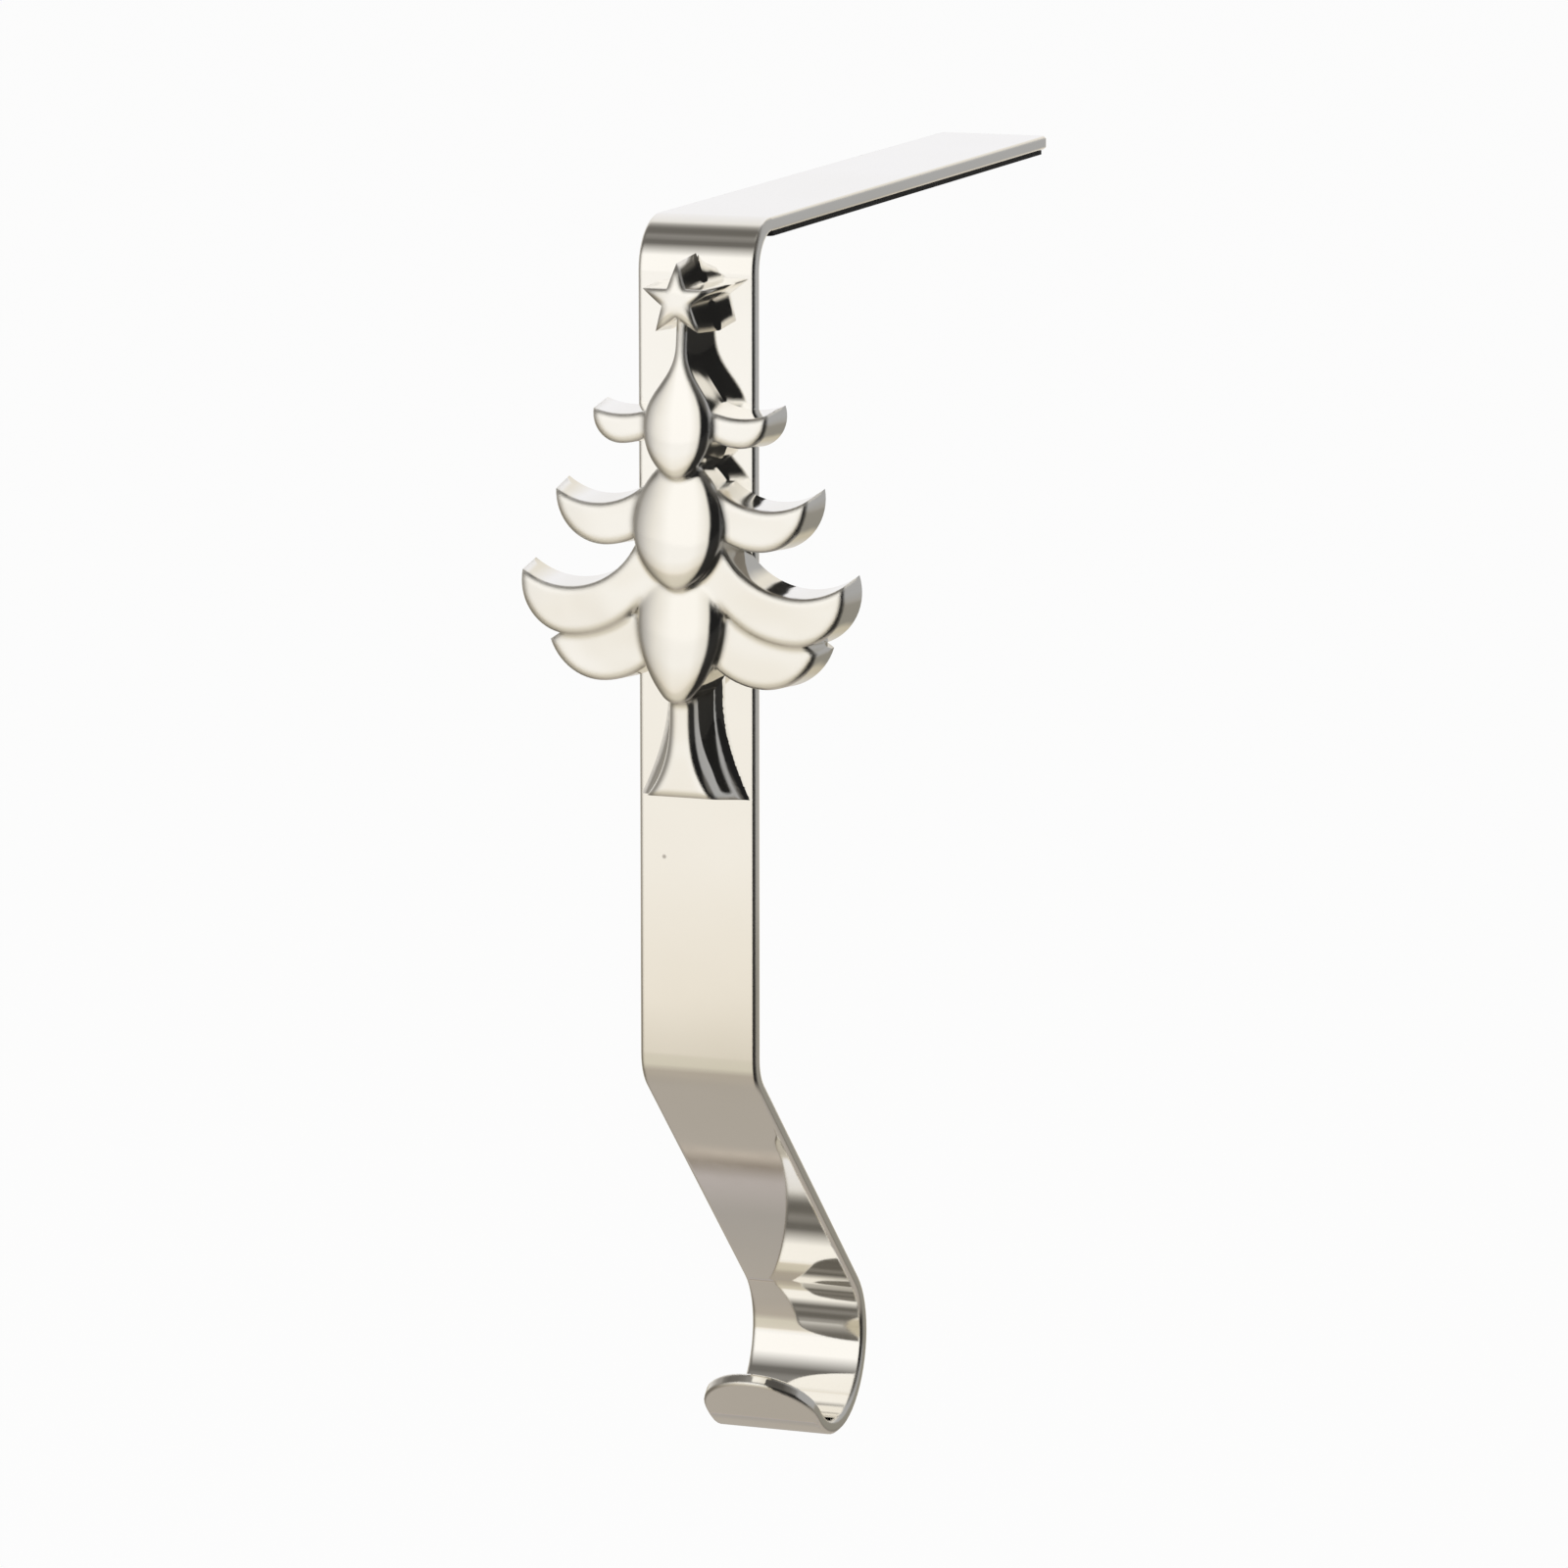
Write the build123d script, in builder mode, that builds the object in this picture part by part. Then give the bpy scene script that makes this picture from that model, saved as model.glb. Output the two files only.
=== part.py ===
from build123d import *
import math
import os

# A mantel hook: a bent flat strap that lies on a shelf, with a cast tree on the front of its upright.
# Millimetres. X runs across the strap, the tree faces -Y, the plate reaches back along +Y, +Z is up.
# The origin is the middle of the pad's underside, the face that rests on the shelf.

# Strap: one strip of flat steel, bent cold. Drops are measured down from the top of its plate.
strap_width = 20.0
strap_thickness = 2.4
edge_chamfer = 0.45
plate_length = 150.0
plate_corner_radius = 1.2
top_bend_radius = 6.0
upright_drop = 140.0
lower_bend_radius = 6.0
slant_angle = 47.0
slant_length = 63.0
hook_radius = 12.0
lip_angle = 45.0
lip_straight = 0.9
lip_nose_flat = 0.8

# Pad: a strip of soft rubber glued under the plate
pad_thickness = 0.8
pad_inset = 0.6
pad_front_gap = 1.0
pad_back_gap = 1.0
pad_corner_radius = 1.0

# Tree: one zinc casting. Heights are measured up from its foot, depths out from the strap's face.
foot_drop = 93.3
bough_draft_angle = 5.0

# Star: its middle, the reach of its points and of the notches between them, and its rounded face
star_height = 81.3
star_points = 5
star_radius = 6.0
star_notch_radius = 2.4
star_depth = 9.6
star_draft_angle = 1.5
star_crown_radius = 22.0

# Drops: half width at the belly, heights of the top, the belly and the tip, depth of the tip
drop_tilt = 7.5
drop_crown_ratio = 0.23
drop_tip_radius = 3.2
neck_half_width = 0.8
neck_overlap = 1.0
neck_foot_height = 74.3
neck_top_height = star_height - neck_overlap
upper_drop = dict(half_width=5.7, top=neck_top_height, belly=61.3, tip=52.9, tip_depth=9.8)
middle_drop = dict(half_width=7.6, top=57.1, belly=45.3, tip=35.0, tip_depth=9.8)
lower_drop = dict(half_width=7.3, top=42.2, belly=30.8, tip=16.6, tip_depth=9.3)

# Boughs: (distance from the middle, height) of the points that their upper and lower edges pass
bough_depth = 8.0
low_bough_step = 0.8
bough_crown_radius = 400.0
bough_edge_chamfer = 0.4
boughs = [
    dict(root_top=(5.0, 63.7), hollow=(11.0, 62.7), tip=(14.7, 63.4), belly=(10.2, 58.1), root=(5.0, 59.7)),
    dict(root_top=(6.5, 51.1), hollow=(14.5, 48.1), tip=(21.3, 50.0), belly=(13.2, 41.6), root=(6.5, 43.8)),
    dict(root_top=(6.8, 43.7), hollow=(16.8, 34.6), tip=(27.3, 36.5), belly=(19.3, 26.7), root=(6.5, 32.8)),
    dict(root_top=(5.0, 30.3), hollow=(15.0, 29.3), tip=(22.7, 25.5), belly=(14.0, 19.4), root=(5.0, 23.3)),
]

# Trunk: a bar with a flat front and hollowed sides, which all widen towards its foot
trunk_top_height = 21.3
trunk_depth = 7.4
trunk_half_width = 4.9
front_half_width = 0.9
front_foot_half_width = 5.7
flare_height = 16.0
flare_steps = 3
side_flare_power = 1.7
front_flare_power = 3.3
side_sweep = 3.7
side_lip_depth = 0.4
front_sweep = 3.0
foot_draft_angle = 9.0

# Pegs: stubs of the casting that pass through the strap and are peened over in countersinks
peg_radius = 2.5
peg_head_radius = 3.6
countersink_angle = 90.0
peg_heights = [59.3, 23.3]

# A face whose normal points forward by less than this is a wall
wall_lean_limit = 0.01

# Places that follow from the sizes above
plate_top = pad_thickness + strap_thickness
top_radius = top_bend_radius + strap_thickness
pad_start = top_radius + pad_front_gap
pad_length = plate_length - pad_start - pad_back_gap
face_y = -(pad_start + pad_length / 2)
back_y = face_y + strap_thickness
plate_end_y = face_y + plate_length
foot_z = plate_top - foot_drop
foot_half_width = strap_width / 2 - edge_chamfer
tree_plane = Plane((0, face_y, foot_z), x_dir=(1, 0, 0), z_dir=(0, -1, 0))
foot_plane = Plane((0, face_y, foot_z), x_dir=(1, 0, 0), z_dir=(0, 0, 1)).rotated((-foot_draft_angle, 0, 0))
back_plane = Plane((0, back_y, foot_z), x_dir=(-1, 0, 0), z_dir=(0, 1, 0))


# Strap. Its side profile is drawn along the face that is seen: the plate's top, the front of the
# upright and the slant, and the inside of the J.
lower_radius = lower_bend_radius + strap_thickness
lower_setback = lower_radius * math.tan(math.radians(slant_angle / 2))
hook_turn = slant_angle + 90 + lip_angle
lip_corner_radius = (strap_width - lip_nose_flat) / 2
lip_length = lip_corner_radius + lip_straight

with BuildPart() as strap:
    with BuildSketch(Plane.YZ):
        with BuildLine():
            plate = Line((plate_end_y, plate_top), (face_y + top_radius, plate_top))
            top_bend = JernArc(plate @ 1, plate % 1, top_radius, 90)
            upright = Line(top_bend @ 1, (face_y, plate_top - upright_drop + lower_setback))
            lower_bend = JernArc(upright @ 1, upright % 1, lower_radius, slant_angle)
            slant = Line(lower_bend @ 1, lower_bend @ 1 + (lower_bend % 1) * slant_length)
            hook = JernArc(slant @ 1, slant % 1, hook_radius, -hook_turn)
            lip = Line(hook @ 1, hook @ 1 + (hook % 1) * lip_length)
            offset(amount=strap_thickness, side=Side.LEFT)
        make_face()
    extrude(amount=strap_width / 2, both=True)

    # The corners of the strip's two ends, then every rim of it. No other edge is as short as a corner.
    corner_limit = strap_thickness + edge_chamfer
    end_corners = strap.edges().filter_by(lambda edge: edge.length < corner_limit)
    fillet(end_corners.group_by(Axis.Y)[-1], plate_corner_radius)
    fillet(end_corners.group_by(Axis.Y)[0], lip_corner_radius)
    bend_lines = strap.edges().filter_by(Axis.X).sort_by(Axis.Y)[:-2]
    rims = strap.edges().filter_by(lambda edge: edge.length > corner_limit) - bend_lines
    chamfer(rims, edge_chamfer)

    # Countersunk holes for the casting's pegs, opened from the back
    with Locations([back_plane * Location((0, height)) for height in peg_heights]):
        CounterSinkHole(peg_radius, peg_head_radius, strap_thickness, countersink_angle)
strap.part.label = "strap"


# Pad, glued under the plate and a little smaller all round
with BuildPart() as non_slip_pad:
    with BuildSketch():
        RectangleRounded(strap_width - 2 * pad_inset, pad_length, pad_corner_radius)
    extrude(amount=pad_thickness)
non_slip_pad.part.label = "non_slip_pad"


# A drop is domed in front of the flat plane of its rim, and a straight wall behind the rim carries it.
# It leans forward at its tip, so that the tip lies over the top of the drop below.
# Below the belly its outline is a wide arc each side and a small one round the tip, all tangent.
def make_drop(half_width, top, belly, tip, tip_depth, neck=0.0):
    tip_centre_fall = belly - tip - drop_tip_radius
    side_radius = (half_width**2 + tip_centre_fall**2 - drop_tip_radius**2) / 2 / (half_width - drop_tip_radius)
    side_turn = math.degrees(math.atan2(tip_centre_fall, side_radius - half_width))
    with BuildPart() as drop:
        with BuildSketch(Plane.XZ) as half:
            with BuildLine():
                if neck:
                    neck_foot = Vector(neck, neck_foot_height - belly)
                    belly_point = Vector(half_width, 0)
                    Line((0, top - belly), (neck, top - belly))
                    Line((neck, top - belly), neck_foot)
                    Spline(neck_foot, belly_point, tangents=[(0, -1), (0, -1)])
                else:
                    TangentArc((half_width, 0), (0, top - belly), tangent=(0, 1))
                CenterArc((half_width - side_radius, 0), side_radius, 0, -side_turn)
                CenterArc((0, -tip_centre_fall), drop_tip_radius, -side_turn, side_turn - 90)
                Line((0, tip - belly), (0, top - belly))
            make_face()
        revolve(axis=Axis.Z, revolution_arc=-180)
        scale(by=(1, drop_crown_ratio, 1), about=(0, 0, 0))
        with BuildSketch(Plane.XZ):
            add(half.sketch)
            mirror(about=Plane.YZ)
        extrude(amount=-tip_depth * 2)
    lean = math.radians(drop_tilt)
    rim_depth = tip_depth - (belly - tip) * math.tan(lean)
    return drop.part.moved(Location((0, face_y - rim_depth, foot_z + belly), (-drop_tilt, 0, 0)))


# A tier of boughs: one crescent each side, cut to a gently crowned face with a softened rim
def make_boughs(root_top, hollow, tip, belly, root, depth):
    with BuildPart() as tier:
        with BuildSketch(tree_plane.offset(depth)):
            with BuildLine():
                Line((0, root_top[1]), root_top)
                ThreePointArc(root_top, hollow, tip)
                TangentArc(belly, tip, tangent=(1, 0))
                TangentArc(belly, root, tangent=(-1, 0))
                Line(root, (0, root[1]))
                Line((0, root[1]), (0, root_top[1]))
            make_face()
            mirror(about=Plane.YZ)
        extrude(amount=-depth)
        walls = tier.faces().filter_by(lambda face: abs(face.normal_at().Y) < wall_lean_limit)
        draft(walls, tree_plane.offset(depth), bough_draft_angle)
        with BuildSketch(Plane.XY.offset(foot_z)):
            with Locations((0, face_y - depth + bough_crown_radius)):
                Circle(bough_crown_radius)
        extrude(amount=foot_drop, mode=Mode.INTERSECT)
        chamfer(tier.faces().sort_by(Axis.Y)[0].edges(), bough_edge_chamfer)
    return tier.part


# The star: ten straight sides, a draught on its walls and a face rounded like a lens
def make_star():
    corners = []
    for corner in range(2 * star_points):
        reach = star_notch_radius if corner % 2 else star_radius
        turn = math.pi / 2 + corner * math.pi / star_points
        corners.append((reach * math.cos(turn), star_height + reach * math.sin(turn)))
    with BuildPart() as star:
        with BuildSketch(tree_plane.offset(star_depth)):
            Polygon(*corners, align=None)
        extrude(amount=-star_depth)
        walls = star.faces().filter_by(lambda face: abs(face.normal_at().Y) < wall_lean_limit)
        draft(walls, tree_plane.offset(star_depth), star_draft_angle)
        with Locations((0, face_y - star_depth + star_crown_radius, foot_z + star_height)):
            Sphere(star_crown_radius, mode=Mode.INTERSECT)
    return star.part


# The trunk: bell-shaped sections stacked up its height, each with a flat top to the bell.
# The draught of its underside lifts the front edge of the foot.
def make_trunk():
    with BuildPart() as trunk:
        for step in range(flare_steps + 1):
            fall = 1 - step / flare_steps
            side = trunk_half_width + (foot_half_width - trunk_half_width) * fall**side_flare_power
            front = front_half_width + (front_foot_half_width - front_half_width) * fall**front_flare_power
            front_y = face_y - trunk_depth
            with BuildSketch(Plane.XY.offset(foot_z + flare_height * (1 - fall))):
                with BuildLine():
                    foot_point = Vector(side, face_y)
                    lip_point = Vector(side - side_sweep, face_y - side_lip_depth)
                    Bezier(foot_point, lip_point, (front + front_sweep, front_y), (front, front_y))
                    Line((front, front_y), (0, front_y))
                    mirror(about=Plane.YZ)
                    Line((-side, face_y), foot_point)
                make_face()
        loft()
        extrude(trunk.faces().sort_by(Axis.Z)[-1], amount=trunk_top_height - flare_height)
        split(bisect_by=foot_plane, keep=Keep.TOP)
    return trunk.part


# The casting: everything joined in front of the strap's face, then the pegs behind it
with BuildPart() as tree_ornament:
    for bough in boughs:
        step = low_bough_step if bough is boughs[-1] else 0
        add(make_boughs(**bough, depth=bough_depth - step))
    add(make_trunk())
    for drop in (lower_drop, middle_drop, upper_drop):
        add(make_drop(**drop, neck=neck_half_width if drop is upper_drop else 0.0))
    add(make_star())
    split(bisect_by=tree_plane, keep=Keep.TOP)
    peg_head_depth = (peg_head_radius - peg_radius) / math.tan(math.radians(countersink_angle / 2))
    for height in peg_heights:
        with Locations(back_plane * Location((0, height))):
            Cylinder(peg_radius, strap_thickness, align=(Align.CENTER, Align.CENTER, Align.MAX))
            Cone(peg_radius, peg_head_radius, peg_head_depth, align=(Align.CENTER, Align.CENTER, Align.MAX))
tree_ornament.part.label = "tree_ornament"


os.makedirs("parts", exist_ok=True)
for piece in (strap, tree_ornament, non_slip_pad):
    export_step(piece.part, "parts/" + piece.part.label + ".step")
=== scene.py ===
import math

import bmesh
import bpy
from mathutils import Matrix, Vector

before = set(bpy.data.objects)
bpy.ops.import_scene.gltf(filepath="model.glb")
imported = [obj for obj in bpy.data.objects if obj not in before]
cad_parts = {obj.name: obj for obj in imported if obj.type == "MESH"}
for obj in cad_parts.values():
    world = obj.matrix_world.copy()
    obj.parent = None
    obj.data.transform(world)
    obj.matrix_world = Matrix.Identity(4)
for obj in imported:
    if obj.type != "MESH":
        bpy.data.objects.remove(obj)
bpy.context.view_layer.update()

# Camera
# The hook is seen from the front right, 20 degrees round from the face of the tree and
# 10.5 degrees above it, through a long lens from a little over a metre away.
camera_place = Vector((0.42706, -1.21155, 0.13544))
camera_target = Vector((0.014918, -0.0792, -0.087065))
camera_data = bpy.data.cameras.new("camera")
camera_data.sensor_width = 36.0
camera_data.lens = 175.2
camera_data.clip_start = 0.01
camera_data.clip_end = 100.0
camera = bpy.data.objects.new("camera", camera_data)


def place_and_aim(thing, place, target):
    thing.location = place
    thing.rotation_mode = "QUATERNION"
    thing.rotation_quaternion = (target - place).to_track_quat("-Z", "Y")
    bpy.context.scene.collection.objects.link(thing)


place_and_aim(camera, camera_place, camera_target)
bpy.context.scene.camera = camera

# Studio
# A pale floor a hand's breadth below the hook, and a tent round it: white in front, a black
# board on the right, dim on the left and open overhead. Polished nickel shows little but these.
bpy.context.scene.view_settings.view_transform = "Standard"


def add_node(tree, kind, place, **settings):
    node = tree.nodes.new(kind)
    node.location = place
    for name, value in settings.items():
        setattr(node, name, value)
    return node


def add_range(tree, place, start, end, low=0.0, high=1.0, ease="LINEAR"):
    node = add_node(tree, "ShaderNodeMapRange", place, interpolation_type=ease)
    node.inputs["From Min"].default_value = start
    node.inputs["From Max"].default_value = end
    node.inputs["To Min"].default_value = low
    node.inputs["To Max"].default_value = high
    return node


def set_ramp(ramp, stops):
    elements = ramp.color_ramp.elements
    while len(elements) > 1:
        elements.remove(elements[-1])
    elements[0].position = stops[0][0]
    elements[0].color = (*stops[0][1], 1.0)
    for place, colour in stops[1:]:
        elements.new(place).color = (*colour, 1.0)


def grey(level):
    return (level, level, level)


plain_white = (*grey(1.0), 1.0)

# Round the walls: the turn from the front, 0.5 is the front, 0.75 the right and 0.25 the left.
# The tent takes these tones, and so does the floor further out.
white_wall = (1.06, 1.04, 1.0)
cream_wall = (0.84, 0.80, 0.72)
black_board = grey(0.015)
wall_tones = [
    (0.0, cream_wall),
    (0.04, (0.95, 0.95, 0.98)),
    (0.12, (0.82, 0.80, 0.76)),
    (0.19, (0.34, 0.325, 0.30)),
    (0.29, (0.27, 0.255, 0.23)),
    (0.36, (0.58, 0.56, 0.53)),
    (0.40, (0.88, 0.85, 0.79)),
    (0.435, white_wall),
    (0.480, white_wall),
    (0.527, (0.86, 0.83, 0.76)),
    (0.535, black_board),
    (0.720, black_board),
    (0.760, grey(0.38)),
    (0.960, grey(0.42)),
    (0.985, cream_wall),
]


def add_walls(tree, point, left, top):
    split = add_node(tree, "ShaderNodeSeparateXYZ", (left, top))
    forward = add_node(tree, "ShaderNodeMath", (left + 180, top), operation="MULTIPLY")
    forward.inputs[1].default_value = -1.0
    turn = add_node(tree, "ShaderNodeMath", (left + 360, top), operation="ARCTAN2")
    turn_share = add_node(tree, "ShaderNodeMath", (left + 540, top), operation="MULTIPLY_ADD")
    turn_share.inputs[1].default_value = 0.5 / math.pi
    turn_share.inputs[2].default_value = 0.5
    walls = add_node(tree, "ShaderNodeValToRGB", (left + 720, top))
    set_ramp(walls, wall_tones)
    tree.links.new(point, split.inputs[0])
    tree.links.new(split.outputs["Y"], forward.inputs[0])
    tree.links.new(split.outputs["X"], turn.inputs[0])
    tree.links.new(forward.outputs[0], turn.inputs[1])
    tree.links.new(turn.outputs[0], turn_share.inputs[0])
    tree.links.new(turn_share.outputs[0], walls.inputs[0])
    return split, forward, walls


world = bpy.data.worlds.new("tent")
bpy.context.scene.world = world
world.use_nodes = True
tent = world.node_tree
tent.nodes.clear()
direction = add_node(tent, "ShaderNodeTexCoord", (-1200, 0))
split, forward, walls = add_walls(tent, direction.outputs["Generated"], -1000, 200)

# Overhead: the rise from the front horizon over the top, 0.5 is straight up. The opening is dark,
# with a paler strip across its middle, and fades out towards the walls.
opening_colour = (0.12, 0.113, 0.102, 1.0)
opening_edge_height = 0.25
opening_full_height = 0.5
rise = add_node(tent, "ShaderNodeMath", (-640, -80), operation="ARCTAN2")
rise_share = add_node(tent, "ShaderNodeMath", (-460, -80), operation="MULTIPLY")
rise_share.inputs[1].default_value = 1.0 / math.pi
opening = add_node(tent, "ShaderNodeValToRGB", (-280, -80))
set_ramp(opening, [
    (0.16, grey(0.0)),
    (0.31, grey(0.95)),
    (0.35, grey(0.95)),
    (0.42, grey(0.65)),
    (0.51, grey(0.85)),
    (0.60, grey(0.55)),
    (0.67, grey(0.0)),
])
above = add_range(tent, (-460, -320), opening_edge_height, opening_full_height, ease="SMOOTHSTEP")
opening_share = add_node(tent, "ShaderNodeMath", (0, -80), operation="MULTIPLY")
tent_colour = add_node(tent, "ShaderNodeMix", (180, 100), data_type="RGBA")
tent_colour.inputs["B"].default_value = opening_colour
tent.links.new(split.outputs["Z"], rise.inputs[0])
tent.links.new(forward.outputs[0], rise.inputs[1])
tent.links.new(rise.outputs[0], rise_share.inputs[0])
tent.links.new(rise_share.outputs[0], opening.inputs[0])
tent.links.new(split.outputs["Z"], above.inputs["Value"])
tent.links.new(opening.outputs[0], opening_share.inputs[0])
tent.links.new(above.outputs[0], opening_share.inputs[1])
tent.links.new(opening_share.outputs[0], tent_colour.inputs["Factor"])
tent.links.new(walls.outputs[0], tent_colour.inputs["A"])

# The camera sees plain white where the floor ends
seen = add_node(tent, "ShaderNodeLightPath", (180, 360))
backdrop = add_node(tent, "ShaderNodeMix", (380, 160), data_type="RGBA")
backdrop.inputs["B"].default_value = plain_white
tent_light = add_node(tent, "ShaderNodeBackground", (580, 160))
tent_out = add_node(tent, "ShaderNodeOutputWorld", (780, 160))
tent.links.new(seen.outputs["Is Camera Ray"], backdrop.inputs["Factor"])
tent.links.new(tent_colour.outputs["Result"], backdrop.inputs["A"])
tent.links.new(backdrop.outputs["Result"], tent_light.inputs["Color"])
tent.links.new(tent_light.outputs[0], tent_out.inputs["Surface"])

# Floor: pale paper, white to the camera. Polished metal sees painted shade on it: taupe under the
# hook, lightening to cream and then white further out.
floor_depth = -0.30
floor_reach = 7.0
floor_mesh = bpy.data.meshes.new("floor")
floor_form = bmesh.new()
bmesh.ops.create_grid(floor_form, x_segments=1, y_segments=1, size=floor_reach)
bmesh.ops.translate(floor_form, verts=floor_form.verts, vec=(0.0, 0.0, floor_depth))
floor_form.to_mesh(floor_mesh)
floor_form.free()
floor = bpy.data.objects.new("floor", floor_mesh)
bpy.context.scene.collection.objects.link(floor)

# Painted shade: the paper's glow is darkest right under the hook and pales to white further out
painted_shade_reach = 2.0
paper = bpy.data.materials.new("floor_paper")
paper.use_nodes = True
sheet = paper.node_tree
sheet.nodes.clear()
place = add_node(sheet, "ShaderNodeTexCoord", (-1200, 0))
flat_place = add_node(sheet, "ShaderNodeVectorMath", (-820, 0), operation="MULTIPLY")
flat_place.inputs[1].default_value = (1.0, 1.0, 0.0)
distance = add_node(sheet, "ShaderNodeVectorMath", (-640, 0), operation="LENGTH")
distance_share = add_node(sheet, "ShaderNodeMath", (-460, 0), operation="DIVIDE")
distance_share.inputs[1].default_value = painted_shade_reach
painted_floor_shade = add_node(sheet, "ShaderNodeValToRGB", (-280, 0))
set_ramp(painted_floor_shade, [
    (0.11, (0.45, 0.41, 0.36)),
    (0.16, (0.66, 0.63, 0.54)),
    (0.41, (0.72, 0.68, 0.60)),
    (0.45, (0.88, 0.84, 0.77)),
    (0.55, (0.93, 0.91, 0.87)),
    (0.95, grey(1.0)),
])
sheet.links.new(place.outputs["Object"], flat_place.inputs[0])
sheet.links.new(flat_place.outputs[0], distance.inputs[0])
sheet.links.new(distance.outputs["Value"], distance_share.inputs[0])
sheet.links.new(distance_share.outputs[0], painted_floor_shade.inputs[0])

# The walls' tones carry on over the floor, all but right under the hook
walls_start = 0.08
walls_full = 0.22
floor_split, floor_forward, floor_walls = add_walls(sheet, place.outputs["Object"], -1000, -260)
outward = add_range(sheet, (-100, -560), walls_start, walls_full, ease="SMOOTHSTEP")
painted_floor_tone = add_node(sheet, "ShaderNodeMix", (180, -260), data_type="RGBA", blend_type="MULTIPLY")
sheet.links.new(distance.outputs["Value"], outward.inputs["Value"])
sheet.links.new(outward.outputs[0], painted_floor_tone.inputs["Factor"])
sheet.links.new(painted_floor_shade.outputs[0], painted_floor_tone.inputs["A"])
sheet.links.new(floor_walls.outputs[0], painted_floor_tone.inputs["B"])

# The paper is flat, and a shallow fold under the hook is painted on it for the slant to mirror: a
# painted light crest, a painted dark crease shadow behind it, and a cool slope beyond
painted_fold_start = -0.026
painted_fold_end = 0.014
painted_fold_place = add_range(sheet, (-280, -760), painted_fold_start, painted_fold_end)
painted_fold = add_node(sheet, "ShaderNodeValToRGB", (-100, -760))
set_ramp(painted_fold, [
    (0.27, grey(0.97)),
    (0.31, (1.22, 1.18, 1.15)),
    (0.36, (0.60, 0.56, 0.52)),
    (0.43, (1.10, 1.10, 1.20)),
    (0.60, (0.88, 0.90, 0.95)),
    (1.0, grey(1.0)),
])
# Painted highlight and painted crease shadow, laid over the floor's tones
painted_fold_tone = add_node(sheet, "ShaderNodeMix", (380, -260), data_type="RGBA", blend_type="MULTIPLY")
painted_fold_tone.inputs["Factor"].default_value = 1.0
sheet.links.new(floor_split.outputs["Y"], painted_fold_place.inputs["Value"])
sheet.links.new(painted_fold_place.outputs[0], painted_fold.inputs[0])
sheet.links.new(painted_floor_tone.outputs["Result"], painted_fold_tone.inputs["A"])
sheet.links.new(painted_fold.outputs[0], painted_fold_tone.inputs["B"])

# The camera sees the paper's glow as plain white. The metal sees it carrying the painted shade and
# the painted fold, with a trace of the real shadow on it. All else is lit by plain matt paper.
glow_share = 0.96
sight = add_node(sheet, "ShaderNodeLightPath", (-280, 320))
paper_glow_and_painted_shade = add_node(sheet, "ShaderNodeMix", (0, 100), data_type="RGBA")
paper_glow_and_painted_shade.inputs["B"].default_value = plain_white
glow = add_node(sheet, "ShaderNodeEmission", (200, 100))
matt = add_node(sheet, "ShaderNodeBsdfDiffuse", (200, -80))
matt.inputs["Color"].default_value = (0.80, 0.79, 0.77, 1.0)
direct = add_node(sheet, "ShaderNodeMath", (0, 320), operation="MAXIMUM")
direct_share = add_node(sheet, "ShaderNodeMath", (200, 320), operation="MULTIPLY")
direct_share.inputs[1].default_value = glow_share
blend = add_node(sheet, "ShaderNodeMixShader", (400, 100))
sheet_out = add_node(sheet, "ShaderNodeOutputMaterial", (600, 100))
sheet.links.new(sight.outputs["Is Camera Ray"], paper_glow_and_painted_shade.inputs["Factor"])
sheet.links.new(painted_fold_tone.outputs["Result"], paper_glow_and_painted_shade.inputs["A"])
sheet.links.new(paper_glow_and_painted_shade.outputs["Result"], glow.inputs["Color"])
sheet.links.new(sight.outputs["Is Camera Ray"], direct.inputs[0])
sheet.links.new(sight.outputs["Is Glossy Ray"], direct.inputs[1])
sheet.links.new(direct.outputs[0], direct_share.inputs[0])
sheet.links.new(direct_share.outputs[0], blend.inputs[0])
sheet.links.new(matt.outputs[0], blend.inputs[1])
sheet.links.new(glow.outputs[0], blend.inputs[2])
sheet.links.new(blend.outputs[0], sheet_out.inputs["Surface"])
floor_mesh.materials.append(paper)

# One wide soft lamp above the camera's left. The metal doesn't mirror it.
lamp_place = Vector((-0.7, -1.2, 1.3))
lamp_target = Vector((0.0, 0.0, -0.1))
lamp_data = bpy.data.lights.new("soft_lamp", "AREA")
lamp_data.shape = "RECTANGLE"
lamp_data.size = 1.6
lamp_data.size_y = 1.2
lamp_data.energy = 12.0
lamp = bpy.data.objects.new("soft_lamp", lamp_data)
lamp.visible_glossy = False
place_and_aim(lamp, lamp_place, lamp_target)

# Strap
# A strip of flat steel, cut, polished, bent cold into the shelf plate, the upright, the slant
# and the J, and then plated with bright nickel. Its long edges are broken by tumbling.


def add_socket(group, name, in_out, kind, value=None):
    socket = group.interface.new_socket(name=name, in_out=in_out, socket_type=kind)
    if value is not None:
        socket.default_value = value


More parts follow.
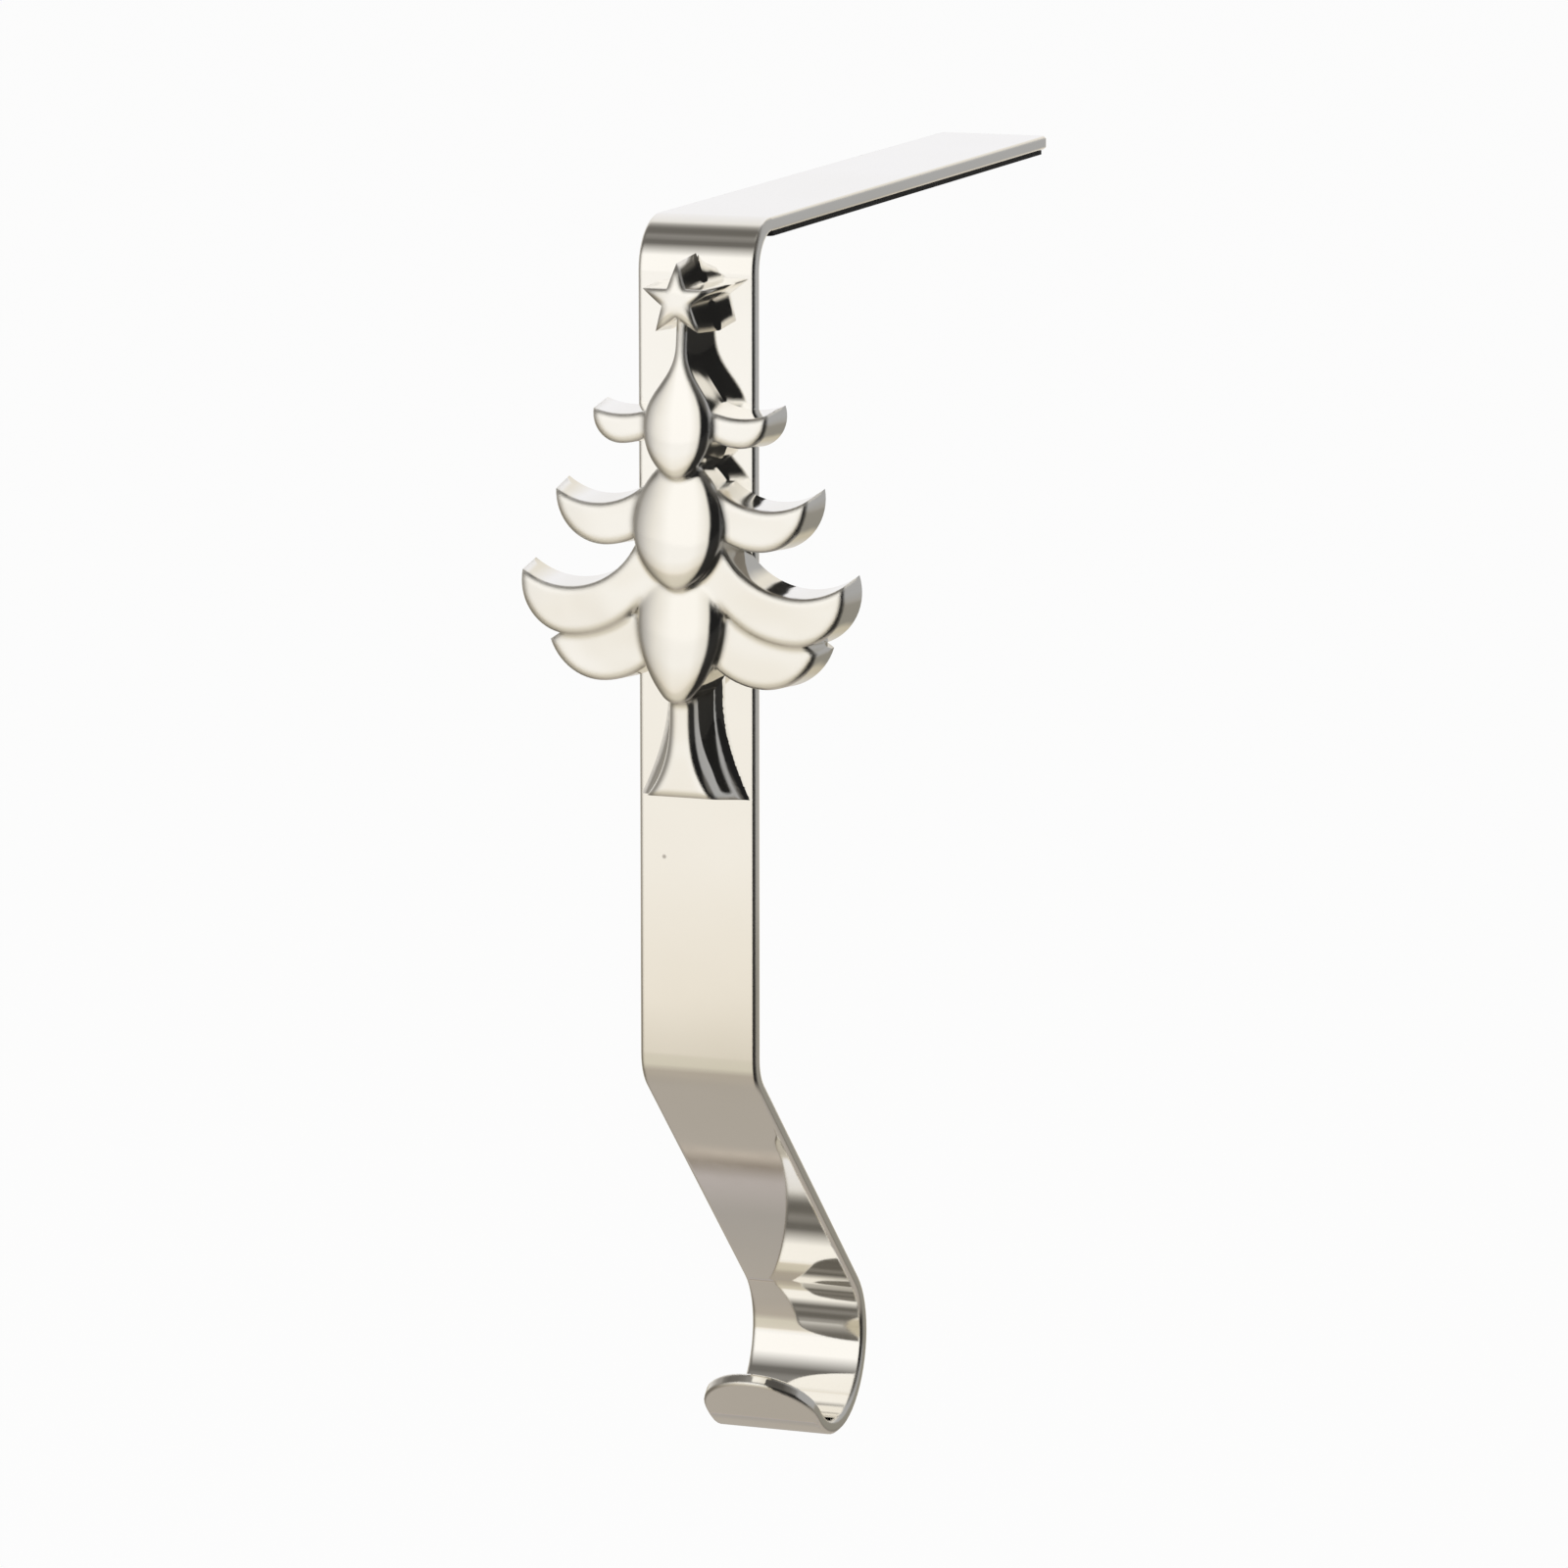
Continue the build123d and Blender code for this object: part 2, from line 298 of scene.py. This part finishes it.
def make_polish_marks():
    group = bpy.data.node_groups.new("polish_marks", "ShaderNodeTree")
    add_socket(group, "Vector", "INPUT", "NodeSocketVector")
    add_socket(group, "Wave Scale", "INPUT", "NodeSocketFloat", 60.0)
    add_socket(group, "Wave Height", "INPUT", "NodeSocketFloat", 0.02)
    add_socket(group, "Haze", "INPUT", "NodeSocketFloat", 0.08)
    add_socket(group, "Edge Round", "INPUT", "NodeSocketFloat", 0.0005)
    add_socket(group, "Roughness", "OUTPUT", "NodeSocketFloat")
    add_socket(group, "Tint", "OUTPUT", "NodeSocketColor")
    add_socket(group, "Normal", "OUTPUT", "NodeSocketVector")
    entry = add_node(group, "NodeGroupInput", (-1200, 0))
    leave = add_node(group, "NodeGroupOutput", (600, 0))

    # The buffing wheel and the plating soften every edge a little more than the metal's own form
    soft_edge = add_node(group, "ShaderNodeBevel", (-100, -400), samples=8)
    group.links.new(entry.outputs["Edge Round"], soft_edge.inputs["Radius"])

    # Broad polishing waves
    wave_depth = 0.001
    wave = add_node(group, "ShaderNodeTexNoise", (-900, -200))
    wave.inputs["Detail"].default_value = 1.0
    wave.inputs["Roughness"].default_value = 0.3
    bump = add_node(group, "ShaderNodeBump", (200, -200))
    bump.inputs["Distance"].default_value = wave_depth
    group.links.new(entry.outputs["Vector"], wave.inputs["Vector"])
    group.links.new(entry.outputs["Wave Scale"], wave.inputs["Scale"])
    group.links.new(entry.outputs["Wave Height"], bump.inputs["Strength"])
    group.links.new(wave.outputs["Fac"], bump.inputs["Height"])
    group.links.new(soft_edge.outputs["Normal"], bump.inputs["Normal"])
    group.links.new(bump.outputs["Normal"], leave.inputs["Normal"])

    # Handling haze, in cloudy patches
    cloud_low = 0.35
    cloud_high = 0.75
    clearest_haze = 0.6
    thickest_haze = 1.5
    haze = add_node(group, "ShaderNodeTexNoise", (-900, 100))
    haze.inputs["Scale"].default_value = 90.0
    haze.inputs["Detail"].default_value = 6.0
    haze.inputs["Roughness"].default_value = 0.65
    haze_level = add_range(
        group, (-600, 100), cloud_low, cloud_high, clearest_haze, thickest_haze)
    roughness = add_node(group, "ShaderNodeMath", (-300, 100), operation="MULTIPLY")
    group.links.new(entry.outputs["Vector"], haze.inputs["Vector"])
    group.links.new(haze.outputs["Fac"], haze_level.inputs["Value"])
    group.links.new(haze_level.outputs[0], roughness.inputs[0])
    group.links.new(entry.outputs["Haze"], roughness.inputs[1])
    group.links.new(roughness.outputs[0], leave.inputs["Roughness"])

    # Nickel is a faintly warm white, a little yellower in patches
    warm_white = (0.940, 0.925, 0.895)
    yellower_white = (0.905, 0.885, 0.840)
    tone = add_node(group, "ShaderNodeTexNoise", (-900, 400))
    tone.inputs["Scale"].default_value = 25.0
    tone.inputs["Detail"].default_value = 3.0
    tint = add_node(group, "ShaderNodeValToRGB", (-300, 350))
    set_ramp(tint, [(0.3, warm_white), (0.7, yellower_white)])
    group.links.new(entry.outputs["Vector"], tone.inputs["Vector"])
    group.links.new(tone.outputs["Fac"], tint.inputs[0])
    group.links.new(tint.outputs[0], leave.inputs["Tint"])
    return group


polish_marks = make_polish_marks()


def make_nickel(name, wave_scale, wave_height, haze, edge_round):
    material = bpy.data.materials.new(name)
    material.use_nodes = True
    tree = material.node_tree
    tree.nodes.clear()
    point = add_node(tree, "ShaderNodeTexCoord", (-600, 0))
    marks = add_node(tree, "ShaderNodeGroup", (-350, 0), node_tree=polish_marks)
    marks.inputs["Wave Scale"].default_value = wave_scale
    marks.inputs["Wave Height"].default_value = wave_height
    marks.inputs["Haze"].default_value = haze
    marks.inputs["Edge Round"].default_value = edge_round
    metal = add_node(tree, "ShaderNodeBsdfPrincipled", (0, 0))
    metal.inputs["Metallic"].default_value = 1.0
    finish = add_node(tree, "ShaderNodeOutputMaterial", (300, 0))
    tree.links.new(point.outputs["Object"], marks.inputs["Vector"])
    tree.links.new(marks.outputs["Tint"], metal.inputs["Base Color"])
    tree.links.new(marks.outputs["Roughness"], metal.inputs["Roughness"])
    tree.links.new(marks.outputs["Normal"], metal.inputs["Normal"])
    tree.links.new(metal.outputs[0], finish.inputs["Surface"])
    return material, point, marks, metal


nickel_on_strip, strip_point, strip_marks, strip_metal = make_nickel(
    "nickel_on_strip", wave_scale=35.0, wave_height=0.02, haze=0.05, edge_round=0.0007)

# A tiny dull pit in the plating, to the left on the upright below the tree
strap_face = -0.0792
pit_place = (-0.0057, strap_face, -0.1003)
pit_middle = 0.00015
pit_rim = 0.00050
pit_strength = 0.6
pit_colour = (0.20, 0.18, 0.15, 1.0)
skin = nickel_on_strip.node_tree
pit_distance = add_node(skin, "ShaderNodeVectorMath", (-700, 300), operation="DISTANCE")
pit_distance.inputs[1].default_value = pit_place
pit = add_range(skin, (-500, 300), pit_middle, pit_rim, pit_strength, 0.0, ease="SMOOTHSTEP")
dulled = add_node(skin, "ShaderNodeMix", (-200, 300), data_type="RGBA")
dulled.inputs["B"].default_value = pit_colour
skin.links.new(strip_point.outputs["Object"], pit_distance.inputs[0])
skin.links.new(pit_distance.outputs["Value"], pit.inputs["Value"])
skin.links.new(pit.outputs[0], dulled.inputs["Factor"])
skin.links.new(strip_marks.outputs["Tint"], dulled.inputs["A"])
skin.links.new(dulled.outputs["Result"], strip_metal.inputs["Base Color"])


def coat(piece, material):
    piece.data.materials.clear()
    piece.data.materials.append(material)


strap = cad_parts["strap"]
coat(strap, nickel_on_strip)

# Tree ornament
# One zinc casting: a star, three shingled drops, four tiers of boughs and a flared trunk. It is
# buffed by hand, which leaves its faces softly wavy, and plated with the same nickel.
casting_edge_round = 0.0018
nickel_on_casting, cast_point, cast_marks, _ = make_nickel(
    "nickel_on_casting", wave_scale=95.0, wave_height=0.30, haze=0.07, edge_round=casting_edge_round)

# The edges against the strap stay sharp: the wheel reaches only what stands clear of it
clear_of_strap = 0.0018
wheel_reach_full = strap_face - clear_of_strap
wheel_reach_end = strap_face - 0.5 * clear_of_strap
cast_skin = nickel_on_casting.node_tree
cast_split = add_node(cast_skin, "ShaderNodeSeparateXYZ", (-800, -300))
cast_round = add_range(
    cast_skin, (-600, -300), wheel_reach_full, wheel_reach_end, casting_edge_round, 0.0)
cast_skin.links.new(cast_point.outputs["Object"], cast_split.inputs[0])
cast_skin.links.new(cast_split.outputs["Y"], cast_round.inputs["Value"])
cast_skin.links.new(cast_round.outputs[0], cast_marks.inputs["Edge Round"])

tree_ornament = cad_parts["tree_ornament"]
coat(tree_ornament, nickel_on_casting)

# Non-slip pad
# A strip of black foam rubber, glued under the plate so that the hook doesn't slide or mark
# the shelf. Its skin is matt with fine open pores.
# Painted shade: the open pores are coloured darker than the skin around them
pore_shade_black = (0.006, 0.006, 0.007)
skin_black = (0.022, 0.022, 0.024)
pore_depth = 0.0002
rubber = bpy.data.materials.new("foam_rubber")
rubber.use_nodes = True
foam = rubber.node_tree
foam.nodes.clear()
foam_point = add_node(foam, "ShaderNodeTexCoord", (-900, 0))
pores = add_node(foam, "ShaderNodeTexVoronoi", (-650, -100))
pores.inputs["Scale"].default_value = 1800.0
pore_shade = add_node(foam, "ShaderNodeValToRGB", (-400, 100))
set_ramp(pore_shade, [(0.1, pore_shade_black), (0.6, skin_black)])
pore_bump = add_node(foam, "ShaderNodeBump", (-400, -200))
pore_bump.inputs["Strength"].default_value = 0.5
pore_bump.inputs["Distance"].default_value = pore_depth
foam_skin = add_node(foam, "ShaderNodeBsdfPrincipled", (0, 0))
foam_skin.inputs["Roughness"].default_value = 0.75
foam_out = add_node(foam, "ShaderNodeOutputMaterial", (300, 0))
foam.links.new(foam_point.outputs["Object"], pores.inputs["Vector"])
foam.links.new(pores.outputs["Distance"], pore_shade.inputs[0])
foam.links.new(pores.outputs["Distance"], pore_bump.inputs["Height"])
foam.links.new(pore_shade.outputs[0], foam_skin.inputs["Base Color"])
foam.links.new(pore_bump.outputs["Normal"], foam_skin.inputs["Normal"])
foam.links.new(foam_skin.outputs[0], foam_out.inputs["Surface"])

non_slip_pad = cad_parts["non_slip_pad"]
coat(non_slip_pad, rubber)
